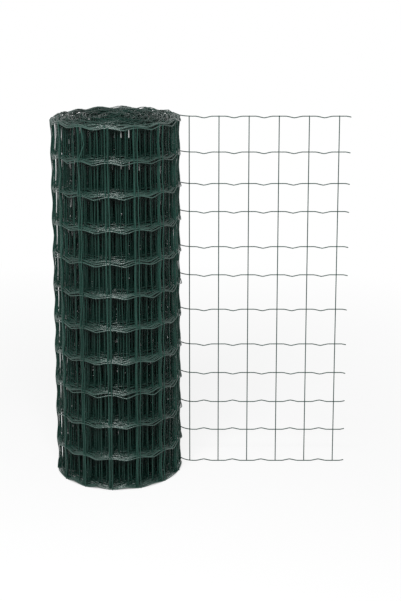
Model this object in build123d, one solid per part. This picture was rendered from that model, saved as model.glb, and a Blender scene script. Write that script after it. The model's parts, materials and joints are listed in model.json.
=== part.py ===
from build123d import *
from math import asin, cos, degrees, pi, sin
import os

# A roll of welded wire fencing in coated wire, standing on end, with the outer end of the
# fence drawn off the back of the roll and run out straight to one side. Millimetres, +Z up.
# The origin is on the axis of the roll, at the level of the floor.

# The fence: line wires run along it, uprights stand across it and are welded to them
FENCE_HEIGHT = 1000
UPRIGHT_PITCH = 81.9
WIRE_DIAMETER = 2.5
WELD_SINK = 0.4
KINK_DEPTH = 4.5
KINK_WIDTH = 44

# The wound roll
ROLL_RADIUS = 174
BORE_RADIUS = 16
ROW_BULGE = 4.5
BULGE_HEIGHT = 24
END_RINGS = 13
END_RELIEF = 5

# The loose end: a reverse bend leads off the roll into a flat sheet behind the roll's axis
SHEET_OFFSET = 18
BEND_RADIUS = 45
BEND_TO_KINK = 5.5
SHEET_UPRIGHTS = 5
BENT_UPRIGHTS = 2
CUT_PAST_KINK = 11.5
LAP_PAST_UPRIGHT = 15
SEAT_GAP = 0.2
UPWARD_KINK_ROWS = 3
# Heights of the pulled-out line wires, from the lowest to the highest
LOOSE_ROW_SHARES = (0, 0.095, 0.179, 0.266, 0.351, 0.453, 0.553, 0.634, 0.734, 0.813, 0.901, 1)

line_wires = len(LOOSE_ROW_SHARES)
wire_radius = WIRE_DIAMETER / 2


def wound_roll():
    """The wound turns as one turned solid: swollen at each row of line wires, ringed on both ends."""
    # A ring is about three turns. Every second ring is set back, and the outermost is stood on
    ring_pitch = (ROLL_RADIUS - BORE_RADIUS) / END_RINGS
    lower_end = [
        (BORE_RADIUS + ring * ring_pitch, END_RELIEF * ((END_RINGS - 1 - ring) % 2))
        for ring in range(END_RINGS)
    ]
    upper_end = [(radius, FENCE_HEIGHT - height) for radius, height in lower_end]

    upright_radius = ROLL_RADIUS - ROW_BULGE
    outline = []
    for row in range(line_wires):
        level = row * FENCE_HEIGHT / (line_wires - 1)
        outline += [
            (upright_radius, level - BULGE_HEIGHT / 2),
            (ROLL_RADIUS, level),
            (upright_radius, level + BULGE_HEIGHT / 2),
        ]
    # The swellings of the lowest and the highest row are cut off level with the ends
    profile = Polyline(*lower_end, *outline[1:-1], *reversed(upper_end), close=True)
    return revolve(make_face(Plane.XZ * profile), Axis.Z)


# The line wires lie on the roll, leave it where the reverse bend starts, and run flat along +X
# from the end of that bend
line_radius = ROLL_RADIUS + SEAT_GAP + wire_radius
leave_angle = asin((SHEET_OFFSET + BEND_RADIUS) / (line_radius + BEND_RADIUS))
flat_start = (line_radius + BEND_RADIUS) * cos(leave_angle)
bend_turn = pi / 2 - leave_angle
bend_length = BEND_RADIUS * bend_turn


def sheet_place(distance):
    """The plane across the fence, this far along a line wire from the end of the bend: X runs
    along the fence, Y points to the side that the uprights are on."""
    if distance >= 0:
        origin = (flat_start + distance, SHEET_OFFSET)
        outward = pi / 2
    elif distance >= -bend_length:
        outward = pi / 2 + distance / BEND_RADIUS
        origin = (
            flat_start - BEND_RADIUS * cos(outward),
            SHEET_OFFSET + BEND_RADIUS * (1 - sin(outward)),
        )
    else:
        outward = leave_angle - (distance + bend_length) / line_radius
        origin = (line_radius * cos(outward), line_radius * sin(outward))
    along = (sin(outward), -cos(outward))
    return Plane(origin=(*origin, 0), x_dir=(*along, 0), z_dir=(0, 0, 1))


first_upright = BEND_TO_KINK + (KINK_WIDTH + UPRIGHT_PITCH) / 2
upright_distances = [
    first_upright + step * UPRIGHT_PITCH for step in range(-BENT_UPRIGHTS, SHEET_UPRIGHTS)
]


def wire_section(plane):
    """A wire's section, four-sided, with one of its sides facing the welds."""
    return plane * Rectangle(WIRE_DIAMETER, WIRE_DIAMETER)


def upright(distance):
    """A straight wire over the full height, pressed into the outer side of the line wires."""
    centre = sheet_place(distance) * Pos(0, WIRE_DIAMETER - WELD_SINK)
    return extrude(wire_section(centre), FENCE_HEIGHT)


def flat_line_points(kink_depth):
    """A line wire's course along the flat sheet, with a crimp halfway between two uprights."""
    points = [(flat_start, 0)]
    for distance in upright_distances[BENT_UPRIGHTS:]:
        middle = flat_start + distance - UPRIGHT_PITCH / 2
        points += [(middle - KINK_WIDTH / 2, 0), (middle, -kink_depth), (middle + KINK_WIDTH / 2, 0)]
    # The wire is cut on the way down its next crimp
    last_kink = flat_start + upright_distances[-1] + (UPRIGHT_PITCH - KINK_WIDTH) / 2
    cut_drop = kink_depth * CUT_PAST_KINK / (KINK_WIDTH / 2)
    points += [(last_kink, 0), (last_kink + CUT_PAST_KINK, -cut_drop)]
    return [(x, SHEET_OFFSET, z) for x, z in points]


def line_wire(kink_depth):
    """One line wire at height zero, from its lap on the roll to its cut end."""
    lap_start = upright_distances[0] - LAP_PAST_UPRIGHT
    lap_angle = leave_angle - (lap_start + bend_length) / line_radius
    lap = CenterArc((0, 0), line_radius, degrees(lap_angle), degrees(leave_angle - lap_angle))
    bend_centre = (flat_start, SHEET_OFFSET + BEND_RADIUS)
    bend = CenterArc(bend_centre, BEND_RADIUS, degrees(leave_angle) + 180, degrees(bend_turn))
    start = sheet_place(lap_start)
    curved = sweep(
        wire_section(Plane(start.origin, x_dir=start.y_dir, z_dir=start.x_dir)), Wire([lap, bend])
    )
    flat = sweep(
        wire_section(Plane((flat_start, SHEET_OFFSET, 0), x_dir=(0, 1, 0), z_dir=(1, 0, 0))),
        Polyline(*flat_line_points(kink_depth)),
        transition=Transition.RIGHT,
    )
    return curved + flat


def loose_end():
    """The pulled-out length of fence: line wires and uprights fused at their welds."""
    level_span = FENCE_HEIGHT - WIRE_DIAMETER
    wires = [upright(distance) for distance in upright_distances]
    upward = line_wire(-KINK_DEPTH)
    downward = line_wire(KINK_DEPTH)
    for row, share in enumerate(LOOSE_ROW_SHARES):
        wire = upward if row < UPWARD_KINK_ROWS else downward
        wires.append(Pos(0, 0, wire_radius + share * level_span) * wire)
    return wires[0] + wires[1:]


os.makedirs("parts", exist_ok=True)
export_step(wound_roll(), "parts/wound_roll.step")
export_step(loose_end(), "parts/loose_end.step")
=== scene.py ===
# %% [markdown]
# # A roll of welded wire fencing
#
# The real thing is one length of garden fence in green coated wire, wound up and stood on
# its end, with the outer end drawn off to one side. The CAD model gives its size and place:
# a turned solid for the roll and a mesh of square wires for the loose end. Here both are
# wound again from round wire, because on this object the wires are the whole look.

# %% Load the fixed frame
import json
import math

import bpy
import numpy as np
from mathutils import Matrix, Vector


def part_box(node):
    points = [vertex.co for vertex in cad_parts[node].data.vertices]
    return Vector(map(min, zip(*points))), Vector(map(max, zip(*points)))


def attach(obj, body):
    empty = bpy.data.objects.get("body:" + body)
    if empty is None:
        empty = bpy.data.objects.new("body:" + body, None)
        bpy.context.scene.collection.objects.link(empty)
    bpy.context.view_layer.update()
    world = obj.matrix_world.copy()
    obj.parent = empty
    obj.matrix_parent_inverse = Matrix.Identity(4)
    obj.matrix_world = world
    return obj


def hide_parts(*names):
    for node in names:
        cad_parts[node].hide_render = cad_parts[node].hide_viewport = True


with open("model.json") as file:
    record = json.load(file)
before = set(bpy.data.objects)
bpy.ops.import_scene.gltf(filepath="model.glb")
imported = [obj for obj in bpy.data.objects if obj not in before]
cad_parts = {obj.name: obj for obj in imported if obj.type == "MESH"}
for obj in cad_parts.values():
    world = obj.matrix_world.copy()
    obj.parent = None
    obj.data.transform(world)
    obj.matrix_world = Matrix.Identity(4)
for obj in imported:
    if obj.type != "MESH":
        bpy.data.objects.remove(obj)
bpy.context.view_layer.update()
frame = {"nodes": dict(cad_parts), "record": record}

print("CAD nodes:", sorted(frame["nodes"]))

# %% [markdown]
# ## Sizes
#
# The height, the radius of the roll, the place of the flat sheet and its cut end all come
# from the CAD boxes, and the bore and the last upright come from the record's mounts. What
# these don't hold, such as the wire gauge and the spacing of the wires, is stated again
# where it is needed. The wire is laid out by the square wire of the CAD model, and drawn
# round and a little thicker, so that its section is nearly as large as the square one's.

# %% Read the sizes
WIRE = 0.0025
ROUND_WIRE = 0.0027
WELD_SINK = 0.0004
SEAT_GAP = 0.0002
TURNS = 66
MM = 1000  # in a metre

_, roll_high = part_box("wound_roll")
sheet_low, sheet_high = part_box("loose_end")
mounts = {mount["name"]: mount for mount in frame["record"]["mounts"]}

fence_height = roll_high.z
line_radius = roll_high.x + SEAT_GAP + WIRE / 2
bore_radius = mounts["core_bore"]["dims"]["r_mm"] / MM
sheet_y = sheet_low.y + WIRE / 2
end_upright_x = mounts["end_upright"]["pos_m"][0]
turn_pitch = (line_radius - bore_radius - WIRE / 2) / TURNS
print(f"fence {fence_height:.3f} m high, turns {turn_pitch * MM:.2f} mm apart")

# %% [markdown]
# ## The course of the fence, seen from above
#
# A fence is easiest to think of as a flat sheet, so every wire is first placed by its
# distance along the sheet. One function then says where that distance lies: on the straight
# loose end, on the reverse bend beside the roll, or on a spiral that runs in turn by turn.
# A spiral curve object could be drawn instead, but a function can be asked for any
# distance, and so puts each weld exactly where it belongs.

# %% Wind the spiral
FULL_TURN = 2 * math.pi


def spiral_length(turned):
    """How much of the fence is wound up once the spiral has turned by this angle."""
    return line_radius * turned - turn_pitch * turned**2 / (2 * FULL_TURN)


def spiral_at(wound):
    """The spiral's radius and the angle that it has turned by, this far along it."""
    radius = np.sqrt(line_radius**2 - turn_pitch * wound / np.pi)
    return radius, (line_radius - radius) * FULL_TURN / turn_pitch


all_turns = FULL_TURN * TURNS
print(f"{spiral_length(all_turns):.1f} m wound up")

# %% Lay the course
BEND_RADIUS = 0.045

leave_angle = math.asin((sheet_y + BEND_RADIUS) / (line_radius + BEND_RADIUS))
flat_start = (line_radius + BEND_RADIUS) * math.cos(leave_angle)
bend_length = BEND_RADIUS * (math.pi / 2 - leave_angle)


def fence_course(distance, stand_off):
    """Places (x, y) along the fence, stood off to the side that the uprights are on.
    Distance is 0 where the bend ends: above that the sheet is flat, below it is wound up."""
    wound = np.maximum(-distance - bend_length, 0)
    inside, turned = spiral_at(wound)
    bent = np.pi / 2 + np.minimum(distance, 0) / BEND_RADIUS
    facing = np.where(wound > 0, leave_angle + turned, bent)
    ahead = flat_start + np.maximum(distance, 0) - BEND_RADIUS * np.cos(facing)
    aside = sheet_y + BEND_RADIUS * (1 - np.sin(facing))
    x = np.where(wound > 0, inside * np.cos(facing), ahead)
    y = np.where(wound > 0, inside * np.sin(facing), aside)
    return np.stack([x + stand_off * np.cos(facing), y + stand_off * np.sin(facing)], -1)


print(f"flat from x = {flat_start * MM:.0f} mm")

# %% [markdown]
# ## Where the wires cross
#
# Each crossing is a weld. Along the fence the uprights are evenly spaced, a little closer
# on the roll, where the crimps are pressed together, than on the loose end, where they are
# pulled out. In the outer dozen turns the crimps have nested in each other, so most of the
# uprights lie behind one another in bands, and a few turns have slipped round into the
# cells between. Further in they fall anywhere.

# %% Space the uprights
SHEET_PITCH = 0.0819
ROLL_PITCH = 0.0781
SHEET_UPRIGHTS = 7
UPRIGHTS_A_TURN = 14
OUTER_TURNS = 3
# How far round the uprights of each nested turn lie from those of the outermost one, in
# spaces between two uprights
NEST_SHARES = (
    0, -0.11, -0.11, 0.87, -0.12, 0.57, -0.04, -0.07, -0.01, 0.43, 0.70, -0.02, 0.24,
)
# They come to lie there over the first part of a turn, by so many spaces
SETTLE_SHARE, SETTLE_TURNS = 0.26, 0.5
STAGGER_SHARE = 0.618

end_station = end_upright_x - flat_start
# The first station is the upright that the fence was cut off short of
sheet_stations = end_station - SHEET_PITCH * np.arange(-1, SHEET_UPRIGHTS)
first_wound = len(sheet_stations)
outer_end = first_wound - 1 + OUTER_TURNS * UPRIGHTS_A_TURN

lap_turned = spiral_at(-sheet_stations[-1] - bend_length)[1]
space = FULL_TURN / UPRIGHTS_A_TURN
turned = []
for turn, nest_share in enumerate(NEST_SHARES):
    for place in range(UPRIGHTS_A_TURN):
        settled = SETTLE_SHARE * min((turn + place / UPRIGHTS_A_TURN) / SETTLE_TURNS, 1)
        turned.append(lap_turned + turn * FULL_TURN + (place + nest_share + settled) * space)
while True:
    around = FULL_TURN * line_radius - turn_pitch * turned[-1]
    a_turn = max(round(around / ROLL_PITCH - STAGGER_SHARE), 1) + STAGGER_SHARE
    if turned[-1] + FULL_TURN / a_turn > all_turns:
        break
    turned.append(turned[-1] + FULL_TURN / a_turn)
turned = np.array(turned[1:])  # the first is the last upright of the loose end
stations = np.concatenate([sheet_stations, -bend_length - spiral_length(turned)])
print(SHEET_UPRIGHTS, "uprights on the loose end,", len(turned), "on the roll")

# %% [markdown]
# ## Strays
#
# Nobody winds a fence perfectly, so on the roll each weld strays by a millimetre, and so do
# the heights, the crimps and the bows further down. The strays are random, but always drawn
# from the same seed. Eased over a few neighbours they look like bent wire and not like noise.

# %% Let the welds stray
ROWS = 12
SEED = 19
WELD_STRAY = 0.0011

chance = np.random.default_rng(SEED)


def strays(reach, size):
    """Random strays, eased over so many uprights to each side, and none on the loose end."""
    draws = chance.normal(0, 1, (len(stations) + 2 * reach, ROWS))
    window = np.hanning(2 * reach + 3)[1:-1]
    eased = np.array([np.convolve(draws[:, row], window, "valid") for row in range(ROWS)]).T
    eased *= size / math.sqrt((window**2).sum())
    eased[:first_wound] = 0
    return eased


weld_at = stations[:, None] + strays(1, WELD_STRAY)
print(weld_at.shape, "uprights and rows of welds")

# %% [markdown]
# ## Slipped turns
#
# The turns under the outer ones have slipped up by almost a centimetre, each by a different
# amount, and further in the top wires have sunk here and there. That makes the top of the
# roll an uneven mat with dark gaps. The lowest wires have stayed on the floor.

# %% Slip the turns
RISE = 0.008
RISE_FROM, RISE_TURNS = 0.75, 3
FULL_RISE_ROW = 3
TURN_SLIP = 0.002
TOP_RISE = 0.003
TOP_SINK_SHARE = 5.5
SINK_FROM, SINK_OVER = 5, 8

turns_in = np.concatenate([np.zeros(first_wound), turned / FULL_TURN])[:, None]
under = 1 - np.exp(-np.maximum(turns_in - RISE_FROM, 0) / RISE_TURNS)
lifted = np.minimum(np.arange(ROWS) / FULL_RISE_ROW, 1)
slips = strays(5, TURN_SLIP)
slip = under * (RISE + slips[:, :1]) * lifted
sunk = np.clip((turns_in - SINK_FROM) / SINK_OVER, 0, 1)
slip[:, -1:] += sunk * (TOP_RISE - TOP_SINK_SHARE * np.abs(slips[:, 1:2]))
print(f"top wires from {slip[:, -1].min() * MM:.0f} to {slip[:, -1].max() * MM:.0f} mm up")

# %% [markdown]
# ## Heights of the line wires
#
# The twelve line wires are evenly spaced on the roll. On the loose end they have been
# pulled about and lie unevenly, so their heights are stated there, and the two sets run
# into each other round the back of the roll.

# %% Set the heights
SHEET_ROW_SHARES = (
    0, 0.095, 0.179, 0.266, 0.351, 0.453, 0.553, 0.634, 0.734, 0.813, 0.901, 1,
)
BLEND_START, BLEND_END = 0.05, 0.45
TOP_DROP = 0.003
ROW_STRAY = 0.0012

lowest, highest = WIRE / 2, fence_height - WIRE / 2
sheet_rows = lowest + np.array(SHEET_ROW_SHARES) * (highest - lowest)
roll_rows = np.linspace(lowest, highest - TOP_DROP, ROWS)
wound = -stations[:, None] - bend_length
on_roll = np.clip((wound - BLEND_START) / (BLEND_END - BLEND_START), 0, 1)
on_roll = on_roll * on_roll * (3 - 2 * on_roll)  # eased at both ends
wound_height = roll_rows + slip + strays(2, ROW_STRAY)
weld_height = sheet_rows * (1 - on_roll) + wound_height * on_roll
weld_height = np.maximum(weld_height, lowest)
print("row heights on the roll, mm:", np.round(roll_rows * MM))

# %% [markdown]
# ## Crimps
#
# Halfway between two uprights each line wire has a small V-shaped crimp, a spring that
# keeps the fence tight on uneven ground. It dips a few millimetres, and where the fence is
# rolled up the wire folds there first, so the crimps also stand out from the turn. The
# lowest rows have theirs the other way up.

# %% Size the crimps
SHEET_CRIMP = 0.0045
ROLL_CRIMP = 0.0065
SHEET_UPWARD_ROWS, ROLL_UPWARD_ROWS = 3, 1
CRIMP_STRAY = 0.0012
OUTER_BULGE = 0.0028
INNER_BULGE = 0.0022
BULGE_STRAY = 0.3

row = np.arange(ROWS)
sheet_crimp = np.where(row < SHEET_UPWARD_ROWS, SHEET_CRIMP, -SHEET_CRIMP)
roll_crimp = np.where(row < ROLL_UPWARD_ROWS, ROLL_CRIMP, -ROLL_CRIMP)
crimp = sheet_crimp * (1 - on_roll) + (roll_crimp + strays(1, CRIMP_STRAY)) * on_roll
crimp[first_wound - 2] = 0  # pulled straight in the reverse bend
is_outer = (np.arange(len(stations)) < outer_end)[:, None]
bulge = np.where(is_outer, OUTER_BULGE, INNER_BULGE) * on_roll
bulge = bulge * (1 + strays(1, BULGE_STRAY))
print(f"crimps {SHEET_CRIMP * MM:.1f} mm deep, {ROLL_CRIMP * MM:.1f} mm on the roll")

# %% Run the line wires
SHEET_CRIMP_SHARE = 0.54
ROLL_CRIMP_SHARE = 0.8
SHARP_SHARE = 0.65


def crimp_shape(share, width):
    """1 at the tip of the crimp, 0 outside it: a V with a rounded tip and shoulders."""
    out = np.clip(np.abs(share - 0.5) / (width / 2), 0, 1)
    rounded = 0.5 + 0.5 * np.cos(np.pi * out)
    return SHARP_SHARE * (1 - out) + (1 - SHARP_SHARE) * rounded


def line_courses(first, last, steps, crimp_width):
    """The points of all twelve line wires from one station to another, with these steps in
    each cell, as shares of it, and crimps of this share of the cell."""
    here, there = slice(first, last), slice(first + 1, last + 1)
    tip = crimp_shape(steps, crimp_width)

    def between(values):
        return values[here, :, None] + (values[there] - values[here])[:, :, None] * steps

    level = between(weld_height) + crimp[here, :, None] * tip
    plan = fence_course(between(weld_at), bulge[here, :, None] * tip)
    points = np.concatenate([plan, np.maximum(level, lowest)[..., None]], -1)
    return points.transpose(1, 0, 2, 3).reshape(ROWS, -1, 3)


print(f"crimps take {SHEET_CRIMP_SHARE:.0%} of a cell, {ROLL_CRIMP_SHARE:.0%} on the roll")

# %% [markdown]
# ## Making wire
#
# Blender can bevel a curve into a tube, but this fence has hundreds of metres of wire and
# the inner turns need fewer faces than the outer ones. So one short mesher sweeps a ring
# along every course at once with NumPy. Rounded ends close each wire like a coated tip.

# %% Mesh from rings
def mesh_of_rings(name, vertices):
    """One mesh of tubes from their rings of vertices (tubes, rings, sides, 3), closed at both
    ends."""
    tubes, count, sides = vertices.shape[:3]
    ring = np.arange(tubes * count * sides).reshape(tubes, count, sides)
    nxt = np.roll(ring, -1, axis=2)
    walls = np.stack([ring[:, :-1], nxt[:, :-1], nxt[:, 1:], ring[:, 1:]], -1).reshape(-1, 4)
    ends = np.concatenate([ring[:, 0, ::-1], ring[:, -1]])
    mesh = bpy.data.meshes.new(name)
    mesh.from_pydata(vertices.reshape(-1, 3), [], walls.tolist() + ends.tolist())
    mesh.shade_smooth()
    piece = bpy.data.objects.new(name, mesh)
    bpy.context.scene.collection.objects.link(piece)
    triangles = 2 * len(walls) + (sides - 2) * len(ends)
    print(f"{name}: {tubes} in one mesh, {triangles} triangles")
    return piece


# %% Wire maker
TIP_SHARES = ((0.28, 0.86), (0.45, 0.5))  # along and across, of the wire's radius


def unit(vectors):
    return vectors / np.linalg.norm(vectors, axis=-1, keepdims=True)


def with_tips(points, thickness):
    """Adds shrunken rings past both ends of each course, and gives every ring's radius."""
    radius = thickness / 2
    back = unit(points[:, 0] - points[:, 1])
    onward = unit(points[:, -1] - points[:, -2])
    before = [(points[:, 0] + back * far * radius, wide) for far, wide in TIP_SHARES[::-1]]
    after = [(points[:, -1] + onward * far * radius, wide) for far, wide in TIP_SHARES]
    rings = [p for p, _ in before] + list(points.transpose(1, 0, 2)) + [p for p, _ in after]
    widths = [w for _, w in before] + [1.0] * points.shape[1] + [w for _, w in after]
    return np.stack(rings, 1), np.array(widths) * radius


def make_wires(name, courses, thickness, sides, reference):
    """One mesh of round wires along courses (wires, points, 3). Reference is a direction that
    no wire runs along."""
    points, radius = with_tips(courses, thickness)
    along = unit(np.gradient(points, axis=1))
    side = unit(np.cross(along, reference))
    up = np.cross(side, along)
    turn = FULL_TURN * np.arange(sides) / sides
    across = side[:, :, None] * np.cos(turn)[:, None] + up[:, :, None] * np.sin(turn)[:, None]
    return mesh_of_rings(name, points[:, :, None] + across * radius[:, None, None])


print("each wire has", 2 * len(TIP_SHARES), "rings of its own for its tips")

# %% [markdown]
# ## The green coating
#
# The wire is galvanised steel in an extruded plastic coat: a dark bottle green with a soft
# gloss, clouded a little from place to place, dusty on what faces up, and faintly grained
# along its skin. Towards the core the green is painted darker: painted shade for the inner
# turns, which lie in the shadow of the outer ones. A node material with noise in object space
# gives all of that without any image, and stays in place from every side. Only its shine
# differs from piece to piece, so the material is made by a function that takes the shine.

# %% Node helpers
# The sockets of a Mix node for colours
MIX_SHARE, MIX_FIRST, MIX_SECOND, MIX_RESULT = 0, 6, 7, 2


def link(tree, source, output, target, socket):
    tree.links.new(source.outputs[output], target.inputs[socket])


def noise(tree, scale, detail):
    """A noise texture in object space."""
    place = tree.nodes.new("ShaderNodeTexCoord")
    clouds = tree.nodes.new("ShaderNodeTexNoise")
    clouds.inputs["Scale"].default_value = scale
    clouds.inputs["Detail"].default_value = detail
    link(tree, place, "Object", clouds, "Vector")
    return clouds


def spread(tree, source, output, low, high, to_low, to_high):
    """Maps a range of one value to another range."""
    ranged = tree.nodes.new("ShaderNodeMapRange")
    ranged.inputs["From Min"].default_value = low
    ranged.inputs["From Max"].default_value = high
    ranged.inputs["To Min"].default_value = to_low
    ranged.inputs["To Max"].default_value = to_high
    link(tree, source, output, ranged, "Value")
    return ranged


def combine(tree, operation, *sources):
    """One value from two, each given as a node and its output."""
    both = tree.nodes.new("ShaderNodeMath")
    both.operation = operation
    for socket, (source, output) in enumerate(sources):
        link(tree, source, output, both, socket)
    return both


def blend_colours(tree, share, share_output, first, second):
    """Mixes two colours, each a plain colour or such a mix, by a share."""
    mixed = tree.nodes.new("ShaderNodeMix")
    mixed.data_type = "RGBA"
    link(tree, share, share_output, mixed, MIX_SHARE)
    for socket, colour in ((MIX_FIRST, first), (MIX_SECOND, second)):
        if isinstance(colour, tuple):
            mixed.inputs[socket].default_value = colour
        else:
            link(tree, colour, MIX_RESULT, mixed, socket)
    return mixed


def from_axis(tree):
    """The distance from the axis of the roll."""
    place = tree.nodes.new("ShaderNodeTexCoord")
    flat = tree.nodes.new("ShaderNodeVectorMath")
    flat.operation = "MULTIPLY"
    flat.inputs[1].default_value = (1, 1, 0)
    link(tree, place, "Object", flat, 0)
    distance = tree.nodes.new("ShaderNodeVectorMath")
    distance.operation = "LENGTH"
    link(tree, flat, "Vector", distance, 0)
    return distance


# %% Colour of the coating
COAT_DARK = (0.008, 0.033, 0.025, 1)
COAT_LIGHT = (0.015, 0.054, 0.042, 1)
COAT_DUST = (0.070, 0.100, 0.088, 1)
# The darker green further in is painted shade, for the shadow that the outer turns cast on
# the inner ones
COAT_PAINTED_SHADE = (0.0055, 0.0235, 0.0180, 1)
PAINTED_SHADE_DEPTH, PAINTED_SHADE_PAST = 0.035, 0.001
# Noises are given by their scale and detail, and used between two of their values
CLOUDS, SPECKS = (9, 3), (60, 4)
SOFT, CRISP = (0.3, 0.7), (0.35, 0.65)
DUST_FROM, DUST_MOST = 0.2, 0.05


def clouded_green(tree):
    """Lighter and darker clouds on the outer turns, and further in a darker green as painted
    shade.
    """
    clouds = spread(tree, noise(tree, *CLOUDS), "Fac", *SOFT, 0, 1)
    green = blend_colours(tree, clouds, "Result", COAT_DARK, COAT_LIGHT)
    # Over this depth below the outer turns the green turns into painted shade
    painted_shade_span = line_radius - PAINTED_SHADE_DEPTH, line_radius + PAINTED_SHADE_PAST
    out_of_painted_shade = spread(tree, from_axis(tree), "Value", *painted_shade_span, 0, 1)
    return blend_colours(tree, out_of_painted_shade, "Result", COAT_PAINTED_SHADE, green)


def dusted(tree, green):
    """A little dust, in specks, on what faces up."""
    facing = tree.nodes.new("ShaderNodeNewGeometry")
    upward = tree.nodes.new("ShaderNodeSeparateXYZ")
    link(tree, facing, "Normal", upward, "Vector")
    on_top = spread(tree, upward, "Z", DUST_FROM, 1, 0, DUST_MOST)
    specks = spread(tree, noise(tree, *SPECKS), "Fac", *CRISP, 0, 1)
    dust = combine(tree, "MULTIPLY", (on_top, "Result"), (specks, "Result"))
    return blend_colours(tree, dust, "Value", green, COAT_DUST)


print("greens from", COAT_PAINTED_SHADE[:3], "to", COAT_LIGHT[:3])

# %% Coating material
PLAIN_SHINE = 0.22
GLOSS_PATCHES, GLOSS_ROUGHNESS = (140, 3), (0.2, 0.36)
GRAIN, GRAIN_STRENGTH, GRAIN_DEPTH = (1400, 2), 0.25, 0.0002


def green_coating(name, shine):
    """The coating with this much shine."""
    material = bpy.data.materials.new(name)
    material.use_nodes = True
    tree = material.node_tree
    skin = tree.nodes["Principled BSDF"]
    skin.inputs["Specular IOR Level"].default_value = shine
    link(tree, dusted(tree, clouded_green(tree)), MIX_RESULT, skin, "Base Color")

    gloss = spread(tree, noise(tree, *GLOSS_PATCHES), "Fac", *SOFT, *GLOSS_ROUGHNESS)
    link(tree, gloss, "Result", skin, "Roughness")

    grain = tree.nodes.new("ShaderNodeBump")
    grain.inputs["Strength"].default_value = GRAIN_STRENGTH
    grain.inputs["Distance"].default_value = GRAIN_DEPTH
    link(tree, noise(tree, *GRAIN), "Fac", grain, "Height")
    link(tree, grain, "Normal", skin, "Normal")
    return material


coating = green_coating("green_coating", PLAIN_SHINE)


def coat(piece, node, finish=coating):
    """Finishes a piece in the coating, stands it in for its CAD node and fixes it to the
    body."""
    piece.data.materials.append(finish)
    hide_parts(node)
    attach(piece, "root")


print("coating made of", len(coating.node_tree.nodes), "nodes")

# %% [markdown]
# ## The loose end's line wires
#
# These are the wires seen best, thin and dark against the background, so they get the most
# points in each cell. Each starts at its cut end, partway into the crimp past the last
# upright, and runs through the reverse bend to where it lies on the roll.

# %% Sheet line wires
UP = (0.0, 0.0, 1.0)
SHEET_SIDES = 12
SHEET_STEPS, STUB_STEPS = 24, 12


def even_steps(count, start=0):
    """So many even steps up to 1, which the next cell starts with."""
    return np.linspace(start, 1, count, endpoint=False)


cut_share = 1 - (sheet_high.x - flat_start - end_station) / SHEET_PITCH
stubs = line_courses(0, 1, even_steps(STUB_STEPS, cut_share), SHEET_CRIMP_SHARE)
cells = line_courses(1, first_wound - 1, even_steps(SHEET_STEPS), SHEET_CRIMP_SHARE)
hold = line_courses(first_wound - 1, first_wound, even_steps(1), SHEET_CRIMP_SHARE)
sheet_courses = np.concatenate([stubs, cells, hold], 1)
coat(make_wires("sheet_line_wires", sheet_courses, ROUND_WIRE, SHEET_SIDES, UP), "loose_end")

# %% [markdown]
# ## Uprights
#
# An upright is one straight wire over the full height, pressed into the outer side of the
# line wires and welded at every crossing. On the roll the pull of the winding bows it in a
# little between the rows, which gives the roll its gently waisted outline.

# %% Upright maker
OUTER_BOW = 0.0040
INNER_BOW = 0.0008
BOW_TURNS = 6
BOW_STRAY = 0.15
PAST_WELD = WIRE / 4

bow = INNER_BOW + (OUTER_BOW - INNER_BOW) * np.exp(-turns_in / BOW_TURNS)
bow = bow * on_roll * (1 + strays(1, BOW_STRAY))
pulled_out = np.zeros_like(weld_at)  # at the welds
kinked_in = np.zeros_like(weld_at)  # halfway up to the next weld
kinked_aside = np.zeros_like(weld_at)


def upright_courses(first, last, steps):
    """The points of the uprights at these stations, with these steps between two rows."""
    here = slice(first, last)

    def between(values):
        return values[here, :-1, None] + np.diff(values[here], axis=1)[:, :, None] * steps

    sag = np.sin(np.pi * steps) ** 2
    kink = 1 - np.abs(2 * steps - 1)
    inward = bow[here, :-1, None] * sag + kinked_in[here, :-1, None] * kink
    aside = kinked_aside[here, :-1, None] * kink
    stand_off = WIRE - WELD_SINK + between(pulled_out) - inward
    plan = fence_course(between(weld_at) + aside, stand_off)
    points = np.concatenate([plan, between(weld_height)[..., None]], -1)
    points = points.reshape(last - first, -1, 3)
    top = fence_course(weld_at[here, -1:], WIRE - WELD_SINK)
    top = np.concatenate([top, weld_height[here, -1:, None] + PAST_WELD], -1)
    points[:, 0, 2] -= PAST_WELD
    return np.concatenate([points, top], 1)


print(f"uprights bow in by up to {bow.max() * MM:.1f} mm")

# %% Sheet uprights
ALONG_X = (1.0, 0.0, 0.0)
FINE_STEPS, COARSE_STEPS = 6, 3

courses = upright_courses(1, first_wound, even_steps(FINE_STEPS))
coat(make_wires("sheet_uprights", courses, ROUND_WIRE, SHEET_SIDES, ALONG_X), "loose_end")

# %% [markdown]
# ## The wound line wires
#
# The same function winds the roll. The few outer turns are seen up close and get round
# wire with well-shaped crimps. The many inner turns are only glimpsed between them, so they
# get fewer sides and steps, which keeps each mesh under two hundred thousand triangles. The
# line wires near the outside rub on each other and shine, and towards the core they are
# duller from group to group.

# %% Roll line wires
OUTER_SIDES, INNER_SIDES = 8, 5
OUTER_CELL = np.array([0, 0.10, 0.20, 0.30, 0.39, 0.46, 0.5, 0.54, 0.61, 0.70, 0.80, 0.90])
INNER_CELL = np.array([0, 0.2, 0.38, 0.5, 0.62, 0.8])
RUBBED_SHINE = 0.7
# The name, the last station and the shine of each group of inner turns
INNER_GROUPS = (
    ("roll_inner_line_wires", 150, RUBBED_SHINE),
    ("roll_middle_line_wires", 230, 0.4),
    ("roll_deep_line_wires", 330, 0.22),
    ("roll_core_line_wires", len(stations) - 1, 0.12),
)


def wound_courses(first, last, steps):
    """The line wires of the roll from one station to the weld at another."""
    run = line_courses(first, last, steps, ROLL_CRIMP_SHARE)
    weld = np.concatenate([fence_course(weld_at[last], 0.0), weld_height[last][:, None]], 1)
    return np.concatenate([run, weld[:, None]], 1)


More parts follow.
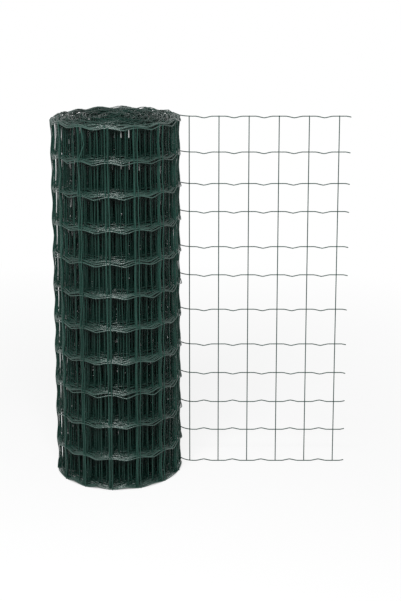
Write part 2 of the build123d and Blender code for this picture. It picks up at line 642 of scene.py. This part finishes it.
courses = wound_courses(first_wound - 1, outer_end, OUTER_CELL)
outer_wires = make_wires("roll_outer_line_wires", courses, ROUND_WIRE, OUTER_SIDES, UP)
coat(outer_wires, "wound_roll", green_coating("rubbed_coating", RUBBED_SHINE))
group_start = outer_end
for name, group_end, shine in INNER_GROUPS:
    courses = wound_courses(group_start, group_end, INNER_CELL)
    finish = green_coating("coating_of_" + name, shine)
    coat(make_wires(name, courses, ROUND_WIRE, INNER_SIDES, UP), "wound_roll", finish)
    group_start = group_end

# %% [markdown]
# ## The wound uprights
#
# Turn after turn the uprights fall in different places, so together they close the roll
# almost completely, apart from a few slits. One upright near the top has been knocked in
# handling: it has sprung off one weld and is kinked above it. Bending its row of the arrays
# before the mesh is made is enough to show that.

# %% Knock one upright
KNOCKED_UPRIGHT = first_wound + 7
SPRUNG_OUT, KINK_IN = 0.009, 0.007
KINK_ASIDE, TOP_ASIDE = -0.0095, -0.0057

weld_at[KNOCKED_UPRIGHT, -1] += TOP_ASIDE
pulled_out[KNOCKED_UPRIGHT, -2] = SPRUNG_OUT
kinked_in[KNOCKED_UPRIGHT, -2] = KINK_IN
kinked_aside[KNOCKED_UPRIGHT, -2] = KINK_ASIDE
bow[KNOCKED_UPRIGHT, -2] = 0
print(f"upright {KNOCKED_UPRIGHT} stands out by {SPRUNG_OUT * MM:.0f} mm")

# %% Roll uprights
for name, first, last, steps, sides in (
    ("roll_outer_uprights", first_wound, outer_end + 1, FINE_STEPS, OUTER_SIDES),
    ("roll_inner_uprights", outer_end + 1, len(stations), COARSE_STEPS, INNER_SIDES),
):
    courses = upright_courses(first, last, even_steps(steps))
    coat(make_wires(name, courses, ROUND_WIRE, sides, ALONG_X), "wound_roll")

# %% [markdown]
# ## Weld beads
#
# At a weld the two wires have melted into each other and the coating has run into the
# corners, so each crossing is a little swollen. A true fillet between two tubes is hard to
# model. A small lens-shaped bead set into the crossing looks the same from outside. Only the
# loose end and the outer turns need them.

# %% Beads
BEAD_WIDE, BEAD_DEEP = 0.0019, 0.0016
BEAD_SIDES, BEAD_RINGS = 8, 6
BEAD_TIP = 0.06  # where the first ring lies, of the way from tip to tip

ring_turn = np.linspace(BEAD_TIP, 1 - BEAD_TIP, BEAD_RINGS) * np.pi


def weld_beads(name, first, last):
    """One mesh of the beads at every weld of the uprights at these stations."""
    here = slice(first, last)
    centres = fence_course(weld_at[here], (WIRE - WELD_SINK) / 2)
    outward = unit(fence_course(weld_at[here], WIRE) - centres).reshape(-1, 2)
    outward = np.concatenate([outward, np.zeros((len(outward), 1))], 1)
    centres = np.concatenate([centres, weld_height[here, :, None]], -1).reshape(-1, 3)
    side = np.cross(UP, outward)
    down = np.cross(side, outward)
    turn = FULL_TURN * np.arange(BEAD_SIDES) / BEAD_SIDES
    across = side[:, None] * np.cos(turn)[:, None] + down[:, None] * np.sin(turn)[:, None]
    forward = -BEAD_DEEP * np.cos(ring_turn)[:, None, None]
    wide = BEAD_WIDE * np.sin(ring_turn)[:, None, None]
    vertices = outward[:, None, None] * forward + across[:, None] * wide
    return mesh_of_rings(name, centres[:, None, None] + vertices)


coat(weld_beads("sheet_weld_beads", 1, first_wound), "loose_end")
coat(weld_beads("roll_weld_beads", first_wound, outer_end + 1), "wound_roll")

# %% [markdown]
# ## Cut ends
#
# The fence was cut off with pliers, so each line wire of the loose end shows its bare steel
# core. The core is thinner than the coated wire, and a short stub of it standing out of the
# coating's rounded tip is all that is seen.

# %% Steel stubs
CORE_WIRE = 0.0019
CORE_SHOWS = 0.0007
CORE_SIDES = 10

cut_at = sheet_courses[:, 0]
cut_way = unit(sheet_courses[:, 0] - sheet_courses[:, 1])
stub_courses = np.stack([cut_at, cut_at + cut_way * CORE_SHOWS], 1)
steel_stubs = make_wires("sheet_cut_ends", stub_courses, CORE_WIRE, CORE_SIDES, UP)

# %% Steel material
STEEL_DARK = (0.16, 0.16, 0.15, 1)
STEEL_LIGHT = (0.42, 0.41, 0.39, 1)
STEEL_ROUGHNESS = 0.45
SCRATCHES = (900, 3)

steel = bpy.data.materials.new("bare_steel")
steel.use_nodes = True
tree = steel.node_tree
metal = tree.nodes["Principled BSDF"]
metal.inputs["Metallic"].default_value = 1
metal.inputs["Roughness"].default_value = STEEL_ROUGHNESS
scratches = spread(tree, noise(tree, *SCRATCHES), "Fac", *CRISP, 0, 1)
scratched = blend_colours(tree, scratches, "Result", STEEL_DARK, STEEL_LIGHT)
link(tree, scratched, MIX_RESULT, metal, "Base Color")
steel_stubs.data.materials.append(steel)
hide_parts("loose_end")
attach(steel_stubs, "root")
print("steel made of", len(tree.nodes), "nodes")

# %% [markdown]
# ## The stage
#
# The picture is a plain one on white: a white floor that runs past the edges of the view.
# To the camera it shines white of itself. Near the roll a share of ordinary white is left
# in, so that a soft shadow still shows there. Under the roll it doesn't shine at all.

# %% Floor
FLOOR_HALF = 60

floor_mesh = bpy.data.meshes.new("floor")
corners = [(-FLOOR_HALF, -FLOOR_HALF, 0), (FLOOR_HALF, -FLOOR_HALF, 0)]
corners += [(FLOOR_HALF, FLOOR_HALF, 0), (-FLOOR_HALF, FLOOR_HALF, 0)]
floor_mesh.from_pydata(corners, [], [(0, 1, 2, 3)])
floor = bpy.data.objects.new("floor", floor_mesh)
bpy.context.scene.collection.objects.link(floor)
print(f"floor {2 * FLOOR_HALF} m square")

# %% Floor material
FLOOR_COLOUR = (0.85, 0.85, 0.85, 1)
FLOOR_ROUGHNESS = 0.9
FLOOR_GLOW = 0.85
RIM_START, RIM_END = -0.012, 0.004  # from the outermost line wires
SHADOW_FADES = 0.7, 2.2


def seen_rays(tree):
    """1 for the rays that show the background, straight or in a reflection."""
    path = tree.nodes.new("ShaderNodeLightPath")
    either = combine(tree, "MAXIMUM", (path, "Is Camera Ray"), (path, "Is Glossy Ray"))
    return combine(tree, "MAXIMUM", (either, "Value"), (path, "Is Transmission Ray"))


white = bpy.data.materials.new("white_floor")
white.use_nodes = True
tree = white.node_tree
plain = tree.nodes["Principled BSDF"]
plain.inputs["Base Color"].default_value = FLOOR_COLOUR
plain.inputs["Roughness"].default_value = FLOOR_ROUGHNESS
rim = line_radius + RIM_START, line_radius + RIM_END
outside = spread(tree, from_axis(tree), "Value", *rim, 0, FLOOR_GLOW)
distant = spread(tree, from_axis(tree), "Value", *SHADOW_FADES, 0, 1 - FLOOR_GLOW)
own_light = combine(tree, "ADD", (outside, "Result"), (distant, "Result"))
share = combine(tree, "MULTIPLY", (seen_rays(tree), "Value"), (own_light, "Value"))
glow = tree.nodes.new("ShaderNodeEmission")
glow.inputs["Strength"].default_value = 1
mixed = tree.nodes.new("ShaderNodeMixShader")
link(tree, share, "Value", mixed, 0)
link(tree, plain, "BSDF", mixed, 1)
link(tree, glow, "Emission", mixed, 2)
link(tree, mixed, "Shader", tree.nodes["Material Output"], "Surface")
floor_mesh.materials.append(white)
print(f"{FLOOR_GLOW:.0%} of the floor's white is its own near the roll")

# %% [markdown]
# ## Light
#
# Faint light from all round, with one wide soft lamp in front, a little to the left and
# about a metre and a half above the top of the roll. The wires are dark and glossy, so much
# of what shows on them is the reflection of the lamp and of the pale room.

# %% World
WORLD_LIGHT = 0.2

world = bpy.data.worlds.new("pale_room")
bpy.context.scene.world = world
world.use_nodes = True
tree = world.node_tree
room = tree.nodes["Background"]
room.inputs["Color"].default_value = (1, 1, 1, 1)
level = spread(tree, seen_rays(tree), "Value", 0, 1, WORLD_LIGHT, 1)
link(tree, level, "Result", room, "Strength")
print(f"the room lights the roll at {WORLD_LIGHT} of white")

# %% Lamp
LAMP_PLACE, LAMP_AIM = (-0.35, -2.6, 2.4), (0.05, 0, 0.5)
LAMP_WIDE, LAMP_HIGH = 2.4, 0.4
LAMP_WATTS = 145

lamp = bpy.data.lights.new("key_lamp", "AREA")
lamp.shape = "RECTANGLE"
lamp.size, lamp.size_y = LAMP_WIDE, LAMP_HIGH
lamp.energy = LAMP_WATTS
holder = bpy.data.objects.new("key_lamp", lamp)
holder.location = LAMP_PLACE
away = np.array(LAMP_PLACE) - np.array(LAMP_AIM)
tip_up = math.atan2(math.hypot(away[0], away[1]), away[2])
holder.rotation_euler = (tip_up, 0, math.atan2(away[0], -away[1]))
bpy.context.scene.collection.objects.link(holder)
bpy.context.scene.view_settings.view_transform = "Standard"
card = LAMP_WATTS / (math.pi**2 * (away**2).sum())
print(f"a white card that faces the lamp would show at {card:.2f} of white")

# %% [markdown]
# ## Camera
#
# The view is from half a metre above the top of the roll, a little to the right of its
# axis. The frame is shifted down, as with a shift lens, so that the camera tilts less and
# the uprights stay nearly upright across the picture.

# %% Place the camera
FRAME_LONG_SIDE = 601
FOCAL_PIXELS = 1272.7
SENSOR = 36
FRAME_SHIFT = -0.2
EYE_PLACE = (0.2294, -3.4, 1.5173)
EYE_TILT = 0.2009

eye = bpy.data.cameras.new("camera")
eye.sensor_width = SENSOR
eye.lens = SENSOR * FOCAL_PIXELS / FRAME_LONG_SIDE
eye.shift_y = FRAME_SHIFT
camera = bpy.data.objects.new("camera", eye)
camera.location = EYE_PLACE
camera.rotation_euler = (math.pi / 2 - EYE_TILT, 0, 0)
bpy.context.scene.collection.objects.link(camera)
bpy.context.scene.camera = camera
print(f"camera {EYE_PLACE[2] - fence_height:.2f} m above the roll, lens {eye.lens:.0f} mm")

# %% [markdown]
# ## Last measures
#
# At the end the view layer is brought up to date. The wires may stand only a little
# outside the box of the CAD model.

# %% Finish
bpy.context.view_layer.update()
